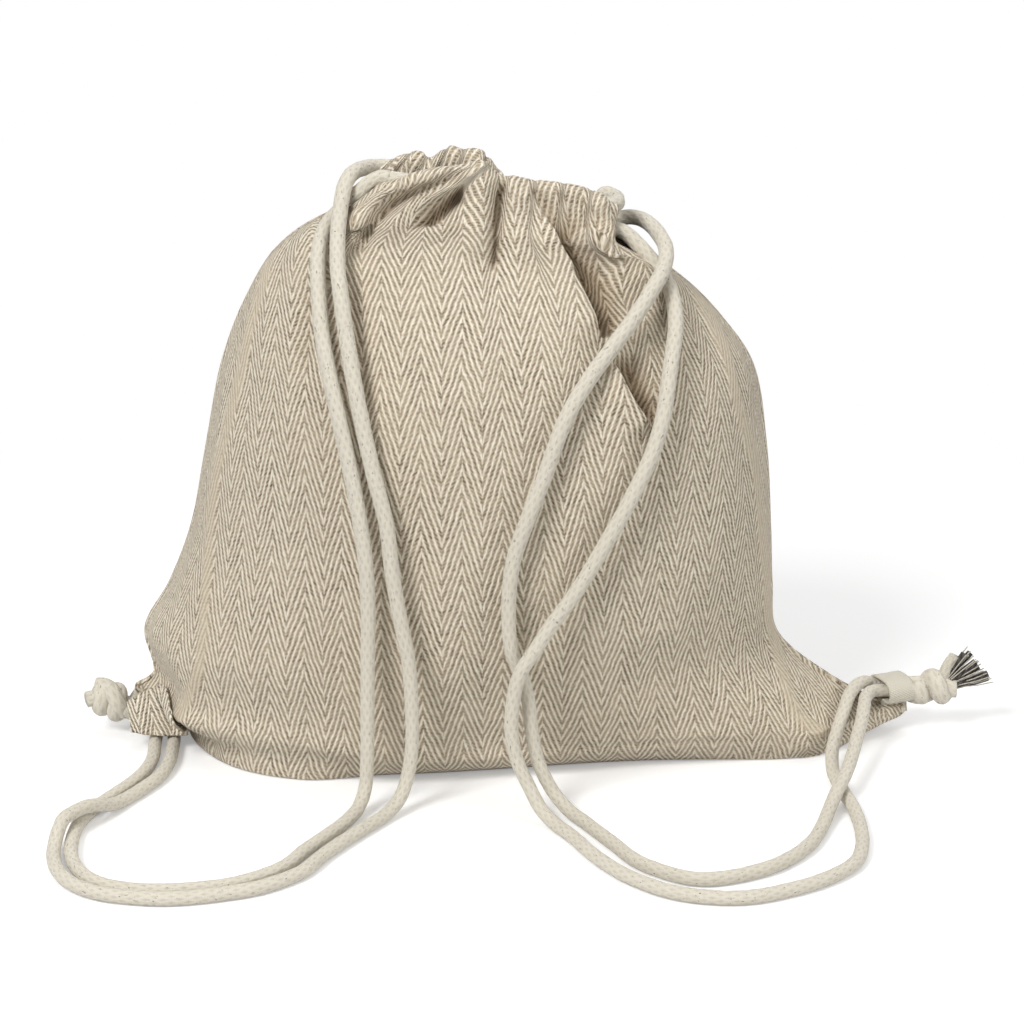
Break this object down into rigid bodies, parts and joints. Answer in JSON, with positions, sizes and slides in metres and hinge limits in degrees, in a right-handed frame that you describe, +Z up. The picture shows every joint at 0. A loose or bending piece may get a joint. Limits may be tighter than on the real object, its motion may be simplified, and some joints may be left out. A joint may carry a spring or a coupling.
{
  "type": "drawstring bag",
  "caption": "Soft cotton drawstring bag worn as a rucksack, filled and standing, with a gathered mouth, cords through hem casings and knots behind tape loops at the bottom corners.",
  "frame": {"origin": "middle of the bag's base on the surface it stands on, taken without the cords and knots", "axes": "+Z up, +X along the bag's width towards the frayed knot, -Y towards the front, where the cords hang"},
  "size_m": [0.4458, 0.3031, 0.2839],
  "materials": {
    "cotton_cloth": "cream and brown herringbone weave, matt",
    "cotton_tape": "smooth cream tape, matt",
    "cotton_cord": "braided cream cord with small dark flecks, matt"
  },
  "bodies": {
    "root": {"front_panel": "cotton_cloth", "back_panel": "cotton_cloth", "left_loop_tab": "cotton_tape", "right_loop_tab": "cotton_tape", "left_cord_front_strand": "cotton_cord", "left_cord_back_strand": "cotton_cord", "right_cord_front_strand": "cotton_cord", "right_cord_back_strand": "cotton_cord", "left_knot": "cotton_cord", "right_knot": "cotton_cord"},
    "front_lip": {"front_casing": "cotton_cloth", "left_cord_front_run": "cotton_cord", "right_cord_front_run": "cotton_cord"},
    "back_lip": {"back_casing": "cotton_cloth", "left_cord_back_run": "cotton_cord", "right_cord_back_run": "cotton_cord"}
  },
  "joints": [
    {"name": "front_lip_fold", "type": "hinge", "parent": "root", "child": "front_lip", "pos_m": [-0.00667, -0.014, 0.25904], "axis": [0.9925, 0, -0.1219], "range_deg": [0, 20]},
    {"name": "back_lip_fold", "type": "hinge", "parent": "root", "child": "back_lip", "pos_m": [-0.00667, 0.014, 0.25904], "axis": [-0.9925, 0, 0.1219], "range_deg": [0, 20]}
  ],
  "couplings": [
    {"joint": "back_lip_fold", "follows": "front_lip_fold", "ratio": 1}
  ]
}
